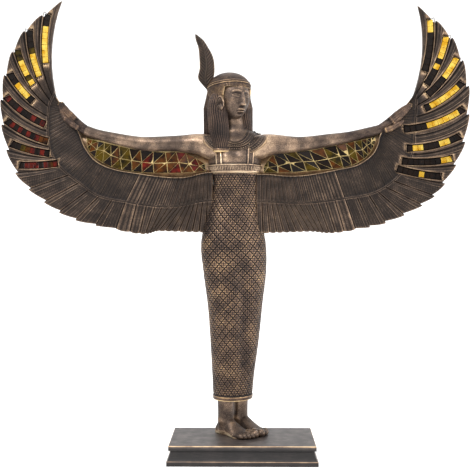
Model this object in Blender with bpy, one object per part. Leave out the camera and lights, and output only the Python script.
"""Winged Egyptian goddess figure: a cast statue with inlaid glass tiles, standing on its plinth.

Metres, +Z up. The origin is the middle of the plinth's underside, +X is the viewer's right and
-Y faces the viewer. The cast figure is drawn in units of a 383rd of its own height, measured from
the soles of the feet, and `at` turns those units into metres. Left and right are the viewer's.
"""

import math

import bmesh
import bpy
import numpy as np

# Driving dimensions
FIGURE_HEIGHT = 0.383
PLINTH_LENGTH = 0.128
PLINTH_DEPTH = 0.066
PLINTH_HEIGHT = 0.017
PLINTH_LIP = 0.0042
PLINTH_HOLLOW = 0.0028
PLINTH_CORNER = 0.0025
PLINTH_EDGE = 0.0006
PLINTH_TOP_INSET = 0.0009
TILE_WIDTH = 0.0050
TILE_THICKNESS = 0.0018
TILE_JOINT_DEPTH = 0.0004
CLEARANCE = 0.0003

# The cast figure's own units
UNITS_TALL = 383
UNIT = FIGURE_HEIGHT / UNITS_TALL
SOLES = PLINTH_HEIGHT + CLEARANCE

# Wings: depth of the slab, and how far the tips come forward
WING_BACK = 3.0
WING_FRONT = -2.0
WING_EDGE_BACK = 1.2
WING_SWEEP = 4.0
WING_REACH = 200
RIM_HEIGHT = 1.2
RIM_WIDTH = 2.0
RIDGE_HEIGHT = 1.0
RIDGE_WIDTH = 2.2
FEATHER_STEP = 2.8
FEATHER_RELIEF = 1.1
FLUTE_RELIEF = 1.0
FEATHER_BULGE = 0.15
SCALLOP = 0.9
FEATHERS = 14
FLUTES = 15
STATIONS = FEATHERS + FLUTES
STRIPS = 8
STRIP_PLACE = 0.37
STRIP_MARGIN = 4.4
STRIP_MARGIN_STEP = 1.2
CHANNEL_SINK = 0.5
PANEL_FRONT = -0.6
PANEL_BACK = 1.2
BACKING_FRONT = -1.6
BACKING_BACK = 3.6
BACKING_GROW = 6.0
PANEL_COLUMNS = 13

# Fingers: pitch and half width, as shares of the hand's half width
FINGER_PITCH = 0.5
FINGER_WIDTH = 0.36

# Feather numbers at which the wing's three long lines pass through their control points
EDGE_STATIONS = (0, 2, 4, 6, 8, 10, 12, 14, 21.5, STATIONS)
RIDGE_STATIONS = (0, 4, 6, 8, 10, 12, 14, STATIONS)

WINGS = {
    "left": {
        "turn": 1,
        "edge": [(-158.4, 383), (-191.6, 356.7), (-209.1, 318), (-211.7, 274.6), (-199.9, 232.0),
                 (-174.9, 206.1), (-147.4, 190.1), (-111.9, 181.7),
                 (-71.2, 180.3), (-26, 178.8)],
        "ridge": [(-164.4, 302.2), (-170.3, 281.1), (-169.2, 254.7), (-160, 237.1),
                  (-143.3, 223.1), (-125.7, 211.2), (-102.8, 206.3), (-26, 207.2)],
        "rim": [(-164, 299.0), (-155.6, 286.4), (-145, 270.5), (-138, 253.8),
                (-128.3, 242), (-112.5, 234.8), (-90.5, 231), (-26, 232.3)],
        "arm": [(-16, 251, 8.5), (-27, 254, 10.5), (-38, 257, 9), (-55.3, 257.5, 7.2), (-81.7, 257.1, 6.7),
                (-94.9, 258.5, 6.0), (-113.4, 262.2, 5.1), (-127, 265.6, 4.2), (-137.1, 269.2, 4.0)],
        "hand": [(-137.1, 269.2, 4.0), (-145.2, 274.8, 4.6), (-153.8, 283.6, 4.2), (-159.8, 293, 2.6)],
        "thumb": [(-141, 268.5, 2.2), (-147.5, 273.2, 2.2), (-154.2, 278.6, 1.9), (-157, 281.6, 1.2)],
        "panel_top": [(-137, 262.6), (-125.7, 259.5), (-113.4, 256.5), (-94.9, 252.6),
                      (-71.2, 250), (-51, 249.8), (-33, 240)],
        "panel_foot": [(-137, 259.5), (-134, 249.4), (-120.4, 239.3), (-101.5, 233.7),
                       (-81.7, 231.9), (-55.3, 231.7), (-32, 233.4)],
        "strip_lengths": (43, 41.5, 33, 31, 41.5, 40, 34, 33),
        "strip_tiles": (8, 8, 7, 6, 9, 10, 8, 8),
    },
    "right": {
        "turn": -1,
        "edge": [(152.8, 377.6), (182.8, 349.7), (197.4, 307.5), (194.4, 258.8), (177.2, 222.2),
                 (157.8, 203), (125.9, 187.4), (99.5, 181.5), (57, 179.8), (12, 178.2)],
        "ridge": [(150.4, 303.1), (150.9, 280.2), (147.8, 247.7), (138.1, 231),
                  (124.9, 219.1), (110, 212.5), (89.8, 209), (12, 206)],
        "rim": [(149.8, 299.5), (134.6, 281.1), (121.4, 267), (117.9, 255.6),
                (112.6, 246.8), (100.3, 238.4), (81, 234), (12, 230.4)],
        "arm": [(3, 251, 8.5), (14, 254, 10.5), (25, 256.5, 9), (50.2, 256.9, 6.6), (76.6, 260.4, 5.8),
                (93.3, 263.2, 4.7), (107.3, 266.6, 4.0), (118.8, 269.4, 3.8)],
        "hand": [(118.8, 269.4, 3.8), (127.2, 273.8, 4.7), (137, 282.8, 3.9), (146.6, 291, 2.0)],
        "thumb": [(121, 267.4, 2.2), (128.2, 269.4, 2.3), (135.6, 273.4, 2), (139.6, 276.6, 1.2)],
        "panel_top": [(116.1, 263.1), (108.2, 261.3), (95.9, 258.7), (76.6, 254.7),
                      (50.2, 250.3), (28.2, 248.6), (18.6, 237.1)],
        "panel_foot": [(116.5, 260), (112.6, 250.3), (105.1, 242.9), (92.4, 237.1),
                       (72.2, 234.5), (45.8, 232.4), (18.6, 231.8)],
        "strip_lengths": (45, 45, 40.5, 39, 54.5, 47, 43, 38),
        "strip_tiles": (8, 9, 8, 8, 11, 10, 9, 8),
    },
}

# The body: height, middle across, half width, middle in depth, depth as a share of width
BODY = [
    (31.0, -8.7, 17.0, 14.5, 0.92),
    (34.5, -8.7, 17.4, 14.3, 0.92),
    (53.3, -8.3, 18.8, 13.0, 0.90),
    (81.5, -7.1, 21.4, 11.0, 0.86),
    (116.6, -6.5, 24.5, 9.0, 0.82),
    (144.8, -6.7, 27.9, 7.5, 0.77),
    (168.5, -7.8, 28.8, 6.0, 0.74),
    (188.8, -7.9, 25.5, 5.5, 0.72),
    (212.5, -6.3, 20.9, 4.5, 0.70),
    (227.4, -6.1, 20.2, 4.0, 0.70),
    (238.0, -7.0, 22.9, 4.0, 0.66),
    (250.3, -7.0, 24.6, 4.0, 0.64),
    (259.0, -7.0, 26.0, 4.0, 0.54),
    (266.0, -7.0, 20.0, 4.0, 0.50),
    (271.0, -7.0, 11.5, 4.0, 0.75),
    (277.0, -7.0, 8.6, 3.5, 0.95),
    (288.0, -7.5, 8.6, 3.0, 0.95),
]
BODY_TURNS = (0.62, 0.35, 0.0, 0.0)
BODY_TURN_HEIGHTS = (31, 168, 230, 290)
BODY_SIDES = 15
HEM_BOTTOM = 31.5
HEM_HEIGHT = 2.5
HEM_FLARE = 0.9
BAND_BOTTOM = 232.0
BAND_TOP = 238.5
BAND_RAISE = 1.0
STRAPS = {"left": -24, "right": 8.5}
STRAP_WIDTH = 2.6
STRAP_TOP = 262
STRAP_LEAN = 0.06
STRAP_RAISE = 0.9
BREASTS = {"left": -15.5, "right": 1.5}
BREAST_HEIGHT = 243
BREAST_SINK = 2.5
BREAST_SIZE = (7.5, 6.5, 7.5)
COLLAR_RINGS = 4
COLLAR_PITCH = 3.2
COLLAR_SIDES = 13
COLLAR_START = 9.5
COLLAR_HEIGHT = 1.6
COLLAR_MIDDLE = -6.5
COLLAR_TOP = 271
COLLAR_DROP = 12.5
COLLAR_CENTRE = 4
COLLAR_DEPTH = 8.0
COLLAR_FRONT_DEPTH = 5.6
COLLAR_ROOT = 3
COLLAR_PROUD = 1.0

# Head and wig
HEAD_TURN = math.radians(35)
HEAD_CENTRE = (-9.2, 2.0, 297.5)
HEAD_SIZE = (14.2, 17.0, 20.0)
WIG_PLACE = (0, -4.8, 8.5)
WIG_SIZE = (18.6, 20.6, 15.0)
HEADBAND = (9.4, 10.2, 12.4, 13.2)
HEADBAND_TILT = 2.4
HAIR_MIDDLE = -12.8
HAIR_HEIGHTS = (246, 262, 290, 306)
HAIR_HALF_WIDTHS = (17, 21.8, 21.8, 18)
HAIR_HALF_DEPTHS = (4.5, 8, 12, 13)
HAIR_BACKS = (16, 13, 9, 7)
LAPPETS = {
    "near": ((249, -17.6, -11.5, 7.2, 3.6), (278, -21.2, -7.8, 8.8, 5.6), (293, -21.6, -4.2, 8.2, 7.2),
             (306, -18.5, -1.5, 5.5, 6.0)),
    "far": ((258, 4.5, 3.0, 5.5, 4.0), (280, 2.0, 6.0, 5.5, 6.0), (303, 0.5, 8.0, 6.5, 8.0)),
}

# Feather on the head: height, left edge, right edge
PLUME = [
    (305.5, -31.4, -30.0),
    (309.2, -34.8, -27.2),
    (314.0, -38.6, -25.8),
    (325.3, -37.9, -24.6),
    (335.4, -38.3, -26.3),
    (343.2, -39.2, -30.4),
    (350.0, -41.4, -35.1),
    (354.8, -42.0, -40.9),
]
PLUME_THICKNESS = 1.5
PLUME_DEPTH = 4.0

# Neighbouring faces of the casting that differ by less than this are joined
FLAT_ANGLE = math.radians(4.8)

# Feet
FOOT_TURN = math.radians(50)
FOOT_LENGTH = 41
FOOT_WIDTH = 18
ANKLE_PLACE = -0.26
FOOT_PLACES = {"near": (-7, 3), "far": (6, 16)}
FOOT_SLANT = 9

# Toes from the big one: place across from the foot's middle, half width, place along the foot
TOES = ((5.9, 3.0, 0.42), (1.4, 1.8, 0.42), (-1.9, 1.65, 0.38), (-4.9, 1.55, 0.33), (-7.5, 1.5, 0.27))

# Foot, from heel to toes: share of its length, share of its half width, height of its top
FOOT_SHAPE = ((0, 0.34, 5), (0.08, 0.5, 11), (0.25, 0.56, 17), (0.42, 0.66, 14),
              (0.6, 0.86, 9), (0.76, 1.0, 6.5), (0.86, 0.98, 5))

# Ankle: height and radius
ANKLE_SHAPE = ((3, 7.0), (12, 6.8), (22, 6.9), (38, 7.4))


def at(x, y, z):
    """A point of the cast figure, from its own units to metres."""
    return (x * UNIT, y * UNIT, SOLES + z * UNIT)


def material(name, colour, roughness, metallic):
    made = bpy.data.materials.new(name)
    made.use_nodes = True
    shader = made.node_tree.nodes["Principled BSDF"]
    shader.inputs["Base Color"].default_value = (*colour, 1)
    shader.inputs["Roughness"].default_value = roughness
    shader.inputs["Metallic"].default_value = metallic
    return made


def collection(name, shown=True):
    made = bpy.data.collections.new(name)
    bpy.context.scene.collection.children.link(made)
    made.hide_render = not shown
    return made


def add(name, mesh, home, finish, helper=False):
    """Turns a bmesh into an object of the given collection."""
    bmesh.ops.recalc_face_normals(mesh, faces=mesh.faces)
    data = bpy.data.meshes.new(name)
    mesh.to_mesh(data)
    mesh.free()
    made = bpy.data.objects.new(name, data)
    made.data.materials.append(finish)
    home.objects.link(made)
    if helper:
        made.hide_render = True
        made.display_type = "WIRE"
    return made


def loft(rings, caps=None):
    """A closed solid through rings with the same number of points, capped at both ends.

    `caps` splits each cap into the given faces, for ends that aren't flat.
    """
    mesh = bmesh.new()
    rows = [[mesh.verts.new(point) for point in ring] for ring in rings]
    count = len(rows[0])
    for lower, upper in zip(rows, rows[1:]):
        for i in range(count):
            j = (i + 1) % count
            mesh.faces.new((lower[i], lower[j], upper[j], upper[i]))
    for cap in caps or [range(count)]:
        mesh.faces.new([rows[0][i] for i in reversed(cap)])
        mesh.faces.new([rows[-1][i] for i in cap])
    return mesh


def ellipsoid(centre, size, turn=0.0, tilt=0.0, segments=16, rings=10):
    """An ellipsoid in the figure's units, turned about the upright axis after a tilt across it."""
    mesh = bmesh.new()
    bmesh.ops.create_uvsphere(mesh, u_segments=segments, v_segments=rings, radius=1)
    for vertex in mesh.verts:
        x, y, z = (share * reach for share, reach in zip(vertex.co, size))
        y, z = y * math.cos(tilt) - z * math.sin(tilt), y * math.sin(tilt) + z * math.cos(tilt)
        x, y = x * math.cos(turn) - y * math.sin(turn), x * math.sin(turn) + y * math.cos(turn)
        vertex.co = at(centre[0] + x, centre[1] + y, centre[2] + z)
    return mesh


def smooth_line(stations, points, where):
    """A smooth curve through the points at their stations, read at each place in `where`."""
    stations = np.asarray(stations, float)
    points = np.asarray(points, float)
    slopes = np.gradient(points, stations, axis=0)
    where = np.clip(np.atleast_1d(np.asarray(where, float)), stations[0], stations[-1])
    k = np.clip(np.searchsorted(stations, where, side="right") - 1, 0, len(stations) - 2)
    span = stations[k + 1] - stations[k]
    t = ((where - stations[k]) / span)[:, None]
    span = span[:, None]
    start = (2 * t**3 - 3 * t**2 + 1) * points[k] + (t**3 - 2 * t**2 + t) * span * slopes[k]
    end = (3 * t**2 - 2 * t**3) * points[k + 1] + (t**3 - t**2) * span * slopes[k + 1]
    return start + end


def sweep(x):
    """How far forward the wing's middle plane lies at this distance across."""
    return -WING_SWEEP * (x / WING_REACH) ** 2


def feather_bulge(station):
    """How far the long feathers curve, as a share of their length; the lower ones are straight."""
    return FEATHER_BULGE * float(np.interp(station, (0, 5, 8, 9), (1, 1, 0.3, 0)))


def edge_step(station):
    """How far the outline draws back at this place on a feather's end."""
    share = station % 1
    if station >= FEATHERS:
        return SCALLOP * (2 * share - 1) ** 2
    return FEATHER_STEP * share**1.5 * float(np.interp(station, (0, 10, FEATHERS), (1, 1, 0.5)))


def wing_column(wing, station, step=None):
    """The rim, ridge and outline points of the wing at one station, and the feather's midpoint."""
    rim = smooth_line(RIDGE_STATIONS, wing["rim"], station)[0]
    ridge = smooth_line(RIDGE_STATIONS, wing["ridge"], station)[0]
    edge = smooth_line(EDGE_STATIONS, wing["edge"], station)[0]
    along = edge - ridge
    length = np.linalg.norm(along)
    draw = edge_step(station) if step is None else step
    edge = ridge + along * (length - draw) / length
    along = edge - ridge
    side = np.array((-along[1], along[0])) * wing["turn"]
    middle = (ridge + edge) / 2 + side * feather_bulge(station) / 2
    return rim, ridge, edge, middle


def wing_section(wing, station, relief, step):
    """One closed section across the wing's slab, from the rim over the ridge to the outline."""
    rim, ridge, edge, middle = wing_column(wing, station, step)
    toward = (ridge - rim) / np.linalg.norm(ridge - rim)
    outward = (middle - ridge) / np.linalg.norm(middle - ridge)
    section = [
        (rim, WING_FRONT - RIM_HEIGHT),
        (rim + toward * RIM_WIDTH, WING_FRONT - relief / 2),
        (ridge, WING_FRONT - RIDGE_HEIGHT - relief / 2),
        (ridge + outward * RIDGE_WIDTH, WING_FRONT - relief / 2),
        (middle, WING_FRONT - relief),
        (edge, WING_FRONT / 2 - relief),
        (edge, WING_EDGE_BACK),
        (middle, (WING_BACK + WING_EDGE_BACK) / 2),
        (rim, WING_BACK),
    ]
    return [at(x, depth + sweep(x), z) for (x, z), depth in section]


def wing_stations():
    """Every station that gets a section, with the relief and the outline's step there."""
    rows = []
    for feather in range(FEATHERS):
        size = float(np.interp(feather, (0, 10, FEATHERS), (1, 1, 0.6)))
        for share, relief in ((0.0, 0.0), (0.2, 1.0), (0.97, 0.2)):
            station = feather + share
            rows.append((station, relief * FEATHER_RELIEF * size, edge_step(station)))
    for flute in range(FEATHERS, STATIONS):
        rows.append((flute, 0.0, SCALLOP))
        rows.append((flute + 0.5, FLUTE_RELIEF, 0.0))
    rows.append((STATIONS, 0.0, SCALLOP))
    return rows


def wing_slab(wing):
    caps = ((4, 5, 6, 7), (0, 1, 2, 3, 4, 7, 8))
    return loft([wing_section(wing, *row) for row in wing_stations()], caps)


def panel_slab(wing, front, back, grow):
    """The flat slab under the arm, between the panel's top and foot lines."""
    places = np.linspace(0, 6, PANEL_COLUMNS + 1)
    top = smooth_line(range(7), wing["panel_top"], places)
    foot = smooth_line(range(7), wing["panel_foot"], places)
    rings = []
    last = len(places) - 1
    for i, (upper, lower) in enumerate(zip(top, foot)):
        ends = (i == last) - (i == 0)
        shift = wing["turn"] * ends * 2 * grow
        upper = (upper[0] + shift, upper[1] + grow)
        lower = (lower[0] + shift, lower[1] - grow)
        rings.append([
            at(x, depth + sweep(x), z)
            for (x, z), depth in ((upper, front), (lower, front), (lower, back), (upper, back))
        ])
    return loft(rings)


def tube(points, depth, squash=1.0, sides=8):
    """A round limb through (x, z, radius) points, standing `depth` in front of the wing's middle."""
    path = np.asarray(points, float)
    tangents = np.gradient(path[:, :2], axis=0)
    tangents /= np.linalg.norm(tangents, axis=1)[:, None]
    rings = []
    for (x, z, radius), (along_x, along_z) in zip(path, tangents):
        ring = []
        for angle in np.linspace(0, 2 * math.pi, sides, endpoint=False):
            across = radius * math.cos(angle)
            out = radius * math.sin(angle) * squash
            px, pz = x - along_z * across, z + along_x * across
            ring.append(at(px, depth + sweep(px) + out, pz))
        rings.append(ring)
    return loft(rings)


def hand(wing, home, finish, name):
    """A hand laid along the wing's inner edge: the palm, three finger ridges and the thumb."""
    add(name + " palm", tube(wing["hand"], -1.5, 0.9, 8), home, finish, True)
    path = np.asarray(wing["hand"], float)
    tangents = np.gradient(path[:, :2], axis=0)
    tangents /= np.linalg.norm(tangents, axis=1)[:, None]
    for finger, offset in enumerate((-FINGER_PITCH, 0.0, FINGER_PITCH)):
        line = [
            (x - tz * offset * r, z + tx * offset * r, FINGER_WIDTH * r + 0.3)
            for (x, z, r), (tx, tz) in zip(path[1:], tangents[1:])
        ]
        add(f"{name} finger {finger}", tube(line, -5.0, 1, 6), home, finish, True)
    add(name + " thumb", tube(wing["thumb"], -6.2, 0.9, 6), home, finish, True)


def body_ring(height, centre, half, depth_centre, share, sides=BODY_SIDES, grow=0.0):
    """One level section of the body, turned as the knees turn, with its seen width kept."""
    turn = float(np.interp(height, BODY_TURN_HEIGHTS, BODY_TURNS))
    wide = (half + grow) / math.hypot(math.cos(turn), share * math.sin(turn))
    ring = []
    for angle in np.linspace(0, 2 * math.pi, sides, endpoint=False):
        x = wide * math.cos(angle)
        y = wide * share * math.sin(angle)
        ring.append(at(
            centre + x * math.cos(turn) - y * math.sin(turn),
            depth_centre + x * math.sin(turn) + y * math.cos(turn),
            height,
        ))
    return ring


def body_at(height):
    """The body's section sizes at any height."""
    rows = np.asarray(BODY)
    return tuple(float(np.interp(height, rows[:, 0], rows[:, k])) for k in range(1, 5))


def body_surface(x, height):
    """The depth of the body's front at this place, for what lies on it."""
    centre, half, depth_centre, share = body_at(height)
    inside = max(0.0, 1 - ((x - centre) / half) ** 2)
    return depth_centre - half * share * math.sqrt(inside)


def body_forms(home, finish):
    """What stands out on the body: the hem, the ribbed band, straps, breasts and the collar."""
    ring = lambda height, grow: body_ring(height, *body_at(height), grow=grow)
    hem_top = HEM_BOTTOM + HEM_HEIGHT
    hem = ((HEM_BOTTOM, 0), (HEM_BOTTOM, HEM_FLARE), (hem_top, HEM_FLARE), (hem_top + HEM_FLARE, 0))
    add("hem", loft([ring(*row) for row in hem]), home, finish, True)
    band = ((BAND_BOTTOM - BAND_RAISE, 0), (BAND_BOTTOM, BAND_RAISE), (BAND_TOP, BAND_RAISE),
            (BAND_TOP + BAND_RAISE, 0))
    add("band", loft([ring(*row) for row in band]), home, finish, True)
    for name, x in STRAPS.items():
        add(f"strap {name}", strap(x), home, finish, True)
    for name, x in BREASTS.items():
        place = (x, body_surface(x, BREAST_HEIGHT) + BREAST_SINK, BREAST_HEIGHT)
        add(f"breast {name}", ellipsoid(place, BREAST_SIZE, segments=8, rings=5), home, finish, True)
    add("collar", collar(), home, finish, True)


def strap(x):
    """A shoulder strap, from the ribbed band up to the collar."""
    rings = []
    for height in np.linspace(BAND_TOP - BAND_RAISE, STRAP_TOP, 6):
        middle = x + (STRAP_TOP - height) * STRAP_LEAN
        front = body_surface(x, height) - STRAP_RAISE
        behind = front + 3 * STRAP_RAISE
        left, right = middle - STRAP_WIDTH, middle + STRAP_WIDTH
        corners = ((left, behind), (right, behind), (right, front), (left, front))
        rings.append([at(across, depth, height) for across, depth in corners])
    return loft(rings)


def collar_row(reach, lift):
    """One row round the collar, from the neck out: it drops in front and lies on the shoulders."""
    spread = reach - COLLAR_START
    row = []
    for angle in np.linspace(0, 2 * math.pi, COLLAR_SIDES, endpoint=False):
        front = max(0.0, -math.sin(angle))
        x = COLLAR_MIDDLE + (reach + 0.45 * spread) * math.cos(angle)
        depth = COLLAR_DEPTH + 0.8 * spread + (COLLAR_FRONT_DEPTH - 0.52 * spread) * front
        y = COLLAR_CENTRE + (depth + lift * front) * math.sin(angle)
        z = COLLAR_TOP - COLLAR_DROP * front - (0.6 + 0.35 * front) * spread + lift * (1 - front)
        if front > 0:
            y = min(y, body_surface(x, z) - COLLAR_PROUD - lift * front)
        row.append(at(x, y, z))
    return row


def collar():
    """The broad collar: concentric rings with a groove between each and the next."""
    rows = [collar_row(COLLAR_START, -COLLAR_ROOT), collar_row(COLLAR_START, 0)]
    for number in range(COLLAR_RINGS):
        inner = COLLAR_START + COLLAR_PITCH * number
        rows.append(collar_row(inner + 0.3 * COLLAR_PITCH, COLLAR_HEIGHT))
        rows.append(collar_row(inner + COLLAR_PITCH, 0.2))
    rows.append(collar_row(COLLAR_START + COLLAR_PITCH * COLLAR_RINGS, -COLLAR_ROOT))
    return loft(rows)


def head_point(right, forward, up):
    """A point of the head from its own directions: the face looks along `forward`."""
    return (
        HEAD_CENTRE[0] + right * math.cos(HEAD_TURN) + forward * math.sin(HEAD_TURN),
        HEAD_CENTRE[1] + right * math.sin(HEAD_TURN) - forward * math.cos(HEAD_TURN),
        HEAD_CENTRE[2] + up,
    )


def head_form(name, place, size, home, finish, tilt=0.0, segments=7, rings=4):
    mesh = ellipsoid(head_point(*place), size, HEAD_TURN, tilt, segments, rings)
    add(name, mesh, home, finish, True)


def head_forms(home, finish):
    """The head with plain, even features, under a striated wig that covers all but one ear."""
    head_form("head", (0, 0, 0), HEAD_SIZE, home, finish, segments=11, rings=7)
    head_form("jaw", (0, 6.5, -11), (9.2, 9.0, 8.4), home, finish)
    head_form("nose", (0, 16.6, -3.0), (1.7, 2.8, 4.8), home, finish, tilt=-0.28)
    head_form("upper lip", (0, 15.4, -9.8), (3.5, 1.6, 1.0), home, finish)
    head_form("lower lip", (0, 15.0, -11.8), (3.1, 1.6, 1.1), home, finish)
    head_form("chin", (0, 13.2, -15.8), (3.8, 3.2, 3.0), home, finish)
    for side in (-1, 1):
        head_form(f"brow {side}", (side * 5.4, 13.8, 3.2), (4.4, 2.4, 0.9), home, finish)
        head_form(f"eye {side}", (side * 5.2, 13.4, 0.2), (2.9, 1.9, 1.3), home, finish)
        head_form(f"cheek {side}", (side * 5.6, 11.0, -5.0), (4.6, 4.6, 4.6), home, finish)
    head_form("ear", (-18.6, 5.5, -5.5), (2.0, 3.2, 5.0), home, finish)
    crown = ellipsoid(head_point(*WIG_PLACE), WIG_SIZE, HEAD_TURN, 0, 11, 6)
    add("wig crown", crown, home, finish, True)
    add("headband", headband(), home, finish, True)
    add("hair back", hair_back(), home, finish, True)
    add("hair near", lappet(LAPPETS["near"]), home, finish, True)
    add("hair far", lappet(LAPPETS["far"]), home, finish, True)
    add("plume", plume(), home, finish, True)


def headband():
    """A low band round the wig, a little proud of it and tipped down at the back."""
    rings = []
    for up, grow in zip(HEADBAND, (-1.0, 0.7, 0.7, -1.0)):
        level = math.sqrt(1 - ((up - WIG_PLACE[2]) / WIG_SIZE[2]) ** 2)
        ring = []
        for angle in np.linspace(0, 2 * math.pi, 12, endpoint=False):
            right = (WIG_SIZE[0] * level + grow) * math.cos(angle)
            forward = WIG_PLACE[1] + (WIG_SIZE[1] * level + grow) * math.sin(angle)
            ring.append(at(*head_point(right, forward, up + HEADBAND_TILT * math.sin(angle))))
        rings.append(ring)
    return loft(rings)


def hair_back():
    """The long hair behind the head and shoulders."""
    rings = []
    for height in np.linspace(HAIR_HEIGHTS[0], HAIR_HEIGHTS[-1], 5):
        half = float(np.interp(height, HAIR_HEIGHTS, HAIR_HALF_WIDTHS))
        depth = float(np.interp(height, HAIR_HEIGHTS, HAIR_HALF_DEPTHS))
        back = float(np.interp(height, HAIR_HEIGHTS, HAIR_BACKS))
        ring = []
        for angle in np.linspace(0, 2 * math.pi, 10, endpoint=False):
            ring.append(at(HAIR_MIDDLE + half * math.cos(angle), back + depth * math.sin(angle), height))
        rings.append(ring)
    return loft(rings)


def lappet(shape):
    """A tress from beside the face down to the shoulder, cut straight across below.

    Each row is its height, its middle across and in depth, and its half width and half depth.
    """
    rows = np.asarray(shape)
    rings = []
    for height in np.linspace(rows[0, 0], rows[-1, 0], 4):
        x, y, wide, deep = (float(np.interp(height, rows[:, 0], rows[:, k])) for k in range(1, 5))
        ring = []
        for angle in np.linspace(0, 2 * math.pi, 8, endpoint=False):
            ring.append(at(x + wide * math.cos(angle), y + deep * math.sin(angle), height))
        rings.append(ring)
    return loft(rings)


def plume():
    """The upright feather, a leaf shape with a raised quill, rooted in the wig under its band."""
    height, left, right = PLUME[0]
    depth = WIG_PLACE[2] + HEAD_CENTRE[2]
    rings = []
    for x, z in (((left + HEAD_CENTRE[0]) / 2, (height + depth) / 2), ((left + right) / 2, height)):
        corners = ((-1, -1), (0, -1), (1, -1), (1, 0), (1, 1), (0, 1), (-1, 1), (-1, 0))
        rings.append([
            at(x + across * PLUME_THICKNESS / 2, PLUME_DEPTH + out * PLUME_THICKNESS / 2, z)
            for across, out in corners
        ])
    for height, left, right in PLUME[1:]:
        quill = left + (right - left) * 0.45
        thick = PLUME_THICKNESS * min(1.0, (right - left) / 6)
        rings.append([
            at(left, PLUME_DEPTH - 0.4 * thick, height),
            at(quill - 0.8, PLUME_DEPTH - thick, height),
            at(quill, PLUME_DEPTH - 1.5 * thick, height),
            at(quill + 0.8, PLUME_DEPTH - thick, height),
            at(right, PLUME_DEPTH - 0.4 * thick, height),
            at(right, PLUME_DEPTH + 0.4 * thick, height),
            at(quill, PLUME_DEPTH + thick, height),
            at(left, PLUME_DEPTH + 0.4 * thick, height),
        ])
    return loft(rings)


def foot(place, big_side):
    """A bare foot from heel to toes, flat below, its front slanting back to the little toe."""
    rings = []
    for share, width, top in FOOT_SHAPE:
        forward = (share - 0.5) * FOOT_LENGTH
        ring = []
        for across, up in ((-1, 0), (-1, 0.45), (-0.6, 0.9), (0, 1), (0.6, 0.9), (1, 0.45), (1, 0)):
            right = across * width * FOOT_WIDTH / 2
            slant = FOOT_SLANT * share**3 * (1 - big_side * across) / 2
            ring.append(foot_point(place, right, forward - slant, up * top))
        rings.append(ring)
    return loft(rings)


def foot_point(place, right, forward, up):
    x = place[0] + right * math.cos(FOOT_TURN) + forward * math.sin(FOOT_TURN)
    y = place[1] + right * math.sin(FOOT_TURN) - forward * math.cos(FOOT_TURN)
    return at(x, y, up)


def toe(place, big_side, inward, half_width, along):
    """One toe: the big one lies on the inner side of the foot."""
    right = big_side * inward
    length = 3.0 + half_width / 2
    rings = []
    for share, width, top in ((-1.5, 0.8, 0.9), (0.4, 1, 1), (1, 0.5, 0.6)):
        half = half_width * width
        high = (1.2 + 1.3 * half_width) * top
        ring = []
        for across, up in ((-1, 0), (-0.7, 0.9), (0.7, 0.9), (1, 0)):
            ahead = FOOT_LENGTH * along + share * length
            ring.append(foot_point(place, right + across * half, ahead, up * high))
        rings.append(ring)
    return loft(rings)


def ankle(place):
    """The leg from the foot up into the dress."""
    rings = []
    for height, half in ANKLE_SHAPE:
        ring = []
        for angle in np.linspace(0, 2 * math.pi, 7, endpoint=False):
            forward = ANKLE_PLACE * FOOT_LENGTH + half * math.sin(angle)
            ring.append(foot_point(place, half * math.cos(angle), forward, height))
        rings.append(ring)
    return loft(rings)


def feet(home, finish):
    for name, place in FOOT_PLACES.items():
        big_side = 1 if name == "near" else -1
        add(name + " foot", foot(place, big_side), home, finish, True)
        add(name + " ankle", ankle(place), home, finish, True)
        for number, size in enumerate(TOES):
            add(f"{name} toe {number}", toe(place, big_side, *size), home, finish, True)


def strip_line(wing, number, places):
    """Points and directions along a row of tiles, at distances inward from its outer end."""
    _, ridge, edge, middle = wing_column(wing, number - STRIP_PLACE, 0.0)
    control = 2 * middle - (ridge + edge) / 2
    t = np.linspace(0, 1.3, 260)[:, None]
    curve = (1 - t) ** 2 * edge + 2 * t * (1 - t) * control + t**2 * ridge
    travelled = np.concatenate([[0], np.cumsum(np.linalg.norm(np.diff(curve, axis=0), axis=1))])
    margin = STRIP_MARGIN + STRIP_MARGIN_STEP * min(number - 1, 3)
    line = np.stack([np.interp(np.add(places, margin), travelled, curve[:, k]) for k in range(2)], axis=1)
    along = np.gradient(line, places, axis=0)
    return line, along / np.linalg.norm(along, axis=1)[:, None]


def strip_bar(wing, number, places, front, back, half):
    """A bar along a row of tiles, with a section at each of the places."""
    rings = []
    for (x, z), (along_x, along_z) in zip(*strip_line(wing, number, places)):
        ring = []
        for side, depth in ((-half, front), (half, front), (half, back), (-half, back)):
            ring.append(at(x - along_z * side, depth + sweep(x), z + along_x * side))
        rings.append(ring)
    return loft(rings)


def strip_places(wing, number):
    """The ends of each tile in a row, as distances from its outer end."""
    return np.linspace(0, wing["strip_lengths"][number - 1], wing["strip_tiles"][number - 1] + 1)


def tile_strip(wing, number):
    """One row of square tiles, each raised to its middle so that the joints lie lower."""
    front = WING_FRONT + CHANNEL_SINK
    back = front + TILE_THICKNESS / UNIT
    mesh = strip_bar(wing, number, strip_places(wing, number), front, back, TILE_WIDTH / UNIT / 2)
    raise_tiles(mesh)
    return mesh


def raise_tiles(mesh):
    """Gives each face that looks forward a middle point, set out by the depth of the joints."""
    bmesh.ops.recalc_face_normals(mesh, faces=mesh.faces)
    tiles = [face for face in mesh.faces if face.normal.y < -0.8]
    bmesh.ops.poke(mesh, faces=tiles, offset=TILE_JOINT_DEPTH)


def strip_channel(wing, number):
    """What is cut from the wing for a row of tiles: the row and its clearance."""
    gap = CLEARANCE / UNIT
    ends = strip_places(wing, number)
    places = np.array([ends[0] - gap, *ends[2:-1:2], ends[-1] + gap])
    back = WING_FRONT + CHANNEL_SINK + TILE_THICKNESS / UNIT + gap
    return strip_bar(wing, number, places, WING_FRONT - 4, back, TILE_WIDTH / UNIT / 2 + gap)


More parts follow.
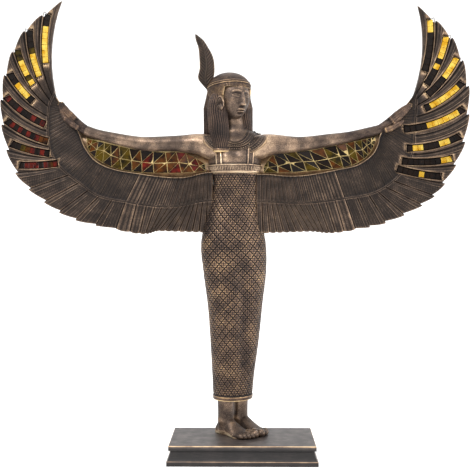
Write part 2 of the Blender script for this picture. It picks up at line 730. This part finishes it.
def panel_point(wing, along, up):
    """A point of the panel: `along` from its outer end to the body, `up` from foot to top."""
    top = smooth_line(range(7), wing["panel_top"], along * 6)[0]
    foot = smooth_line(range(7), wing["panel_foot"], along * 6)[0]
    return foot + (top - foot) * up


def mosaic_panel(wing):
    """Two rows of triangular tiles, point up and point down by turns, each raised to its middle."""
    mesh = bmesh.new()
    grid = []
    for row in range(3):
        shift = 0.5 if row == 1 else 0.0
        places = [min(1.0, (k + shift) / PANEL_COLUMNS) for k in range(PANEL_COLUMNS + 1)]
        if row == 1:
            places = [0.0, *places]
        points = [panel_point(wing, place, row / 2) for place in places]
        grid.append([
            [mesh.verts.new(at(x, depth + sweep(x), z)) for depth in (PANEL_FRONT, PANEL_BACK)]
            for x, z in points
        ])
    for low, high in ((0, 1), (2, 1)):
        outer, inner = grid[low], grid[high]
        for k in range(PANEL_COLUMNS + 1):
            fill(mesh, (outer[k], inner[k + 1], inner[k]))
            if k < PANEL_COLUMNS:
                fill(mesh, (outer[k], outer[k + 1], inner[k + 1]))
    rim = grid[0] + [grid[1][-1]] + grid[2][::-1] + [grid[1][0]]
    for here, there in zip(rim, rim[1:] + rim[:1]):
        mesh.faces.new((here[0], there[0], there[1], here[1]))
    raise_tiles(mesh)
    return mesh


def fill(mesh, corners):
    """A triangle on the front and its match on the back."""
    for layer in range(2):
        mesh.faces.new([corner[layer] for corner in corners])


def plinth(home, finish):
    """A rectangular base: a lower lip, a hollow side that leans in, and an upper lip over it."""
    low, high = PLINTH_LIP, PLINTH_HEIGHT - PLINTH_LIP
    soft, step = PLINTH_EDGE, PLINTH_TOP_INSET
    profile = [(soft, 0), (0, soft), (0, low - soft), (soft, low)]
    for share in np.linspace(0.15, 1, 5):
        profile.append((soft + PLINTH_HOLLOW * share**0.6, low + (high - low) * share))
    profile += [(step + soft, high), (step, high + soft)]
    profile += [(step, PLINTH_HEIGHT - soft), (step + soft, PLINTH_HEIGHT)]
    add("plinth", loft([rounded_rectangle(*row) for row in profile]), home, finish)


def rounded_rectangle(inset, height):
    ring = []
    radius = PLINTH_CORNER
    for quarter, (sx, sy) in enumerate(((1, 1), (-1, 1), (-1, -1), (1, -1))):
        x = sx * (PLINTH_LENGTH / 2 - inset - radius)
        y = sy * (PLINTH_DEPTH / 2 - inset - radius)
        for step in range(2):
            angle = (quarter + step) * math.pi / 2
            ring.append((x + radius * math.cos(angle), y + radius * math.sin(angle), height))
    return ring


def union(target, forms):
    """Joins every helper in the collection to the target."""
    joined = target.modifiers.new("forms", "BOOLEAN")
    joined.operation = "UNION"
    joined.solver = "MANIFOLD"
    joined.operand_type = "COLLECTION"
    joined.collection = forms


def cut(target, cutters):
    cutting = target.modifiers.new("recesses", "BOOLEAN")
    cutting.operation = "DIFFERENCE"
    cutting.solver = "MANIFOLD"
    cutting.operand_type = "COLLECTION"
    cutting.collection = cutters


def build():
    for obj in list(bpy.data.objects):
        bpy.data.objects.remove(obj)
    shown = collection("winged_goddess")
    forms = collection("figure forms", shown=False)
    cutters = collection("figure recesses", shown=False)
    bronze = material("aged bronze casting", (0.09, 0.062, 0.048), 0.42, 0.7)
    stone = material("dark bronze plinth", (0.07, 0.06, 0.055), 0.5, 0.5)
    gold = material("gold mirror glass", (0.75, 0.52, 0.12), 0.15, 0.3)
    amber = material("amber glass mosaic", (0.22, 0.1, 0.02), 0.2, 0.1)

    body = loft([body_ring(*row) for row in BODY])
    figure = add("figure", body, shown, bronze)
    body_forms(forms, bronze)
    head_forms(forms, bronze)
    feet(forms, bronze)
    plinth(shown, stone)

    for side, wing in WINGS.items():
        add(f"{side} wing", wing_slab(wing), forms, bronze, True)
        backing = panel_slab(wing, BACKING_FRONT, BACKING_BACK, BACKING_GROW)
        add(f"{side} panel backing", backing, forms, bronze, True)
        add(f"{side} arm", tube(wing["arm"], -1.0), forms, bronze, True)
        hand(wing, forms, bronze, f"{side} hand")
        gap = CLEARANCE / UNIT
        recess = panel_slab(wing, WING_FRONT - 3, PANEL_BACK + gap, 1.3 * gap)
        add(f"{side} panel recess", recess, cutters, bronze, True)
        for number in range(1, STRIPS + 1):
            add(f"{side} channel {number}", strip_channel(wing, number), cutters, bronze, True)
            add(f"tile_strip_{side}_{number}", tile_strip(wing, number), shown, gold)
        add(f"mosaic_panel_{side}", mosaic_panel(wing), shown, amber)
    union(figure, forms)
    tidy = figure.modifiers.new("flat faces joined", "DECIMATE")
    tidy.decimate_type = "DISSOLVE"
    tidy.angle_limit = FLAT_ANGLE
    cut(figure, cutters)


build()
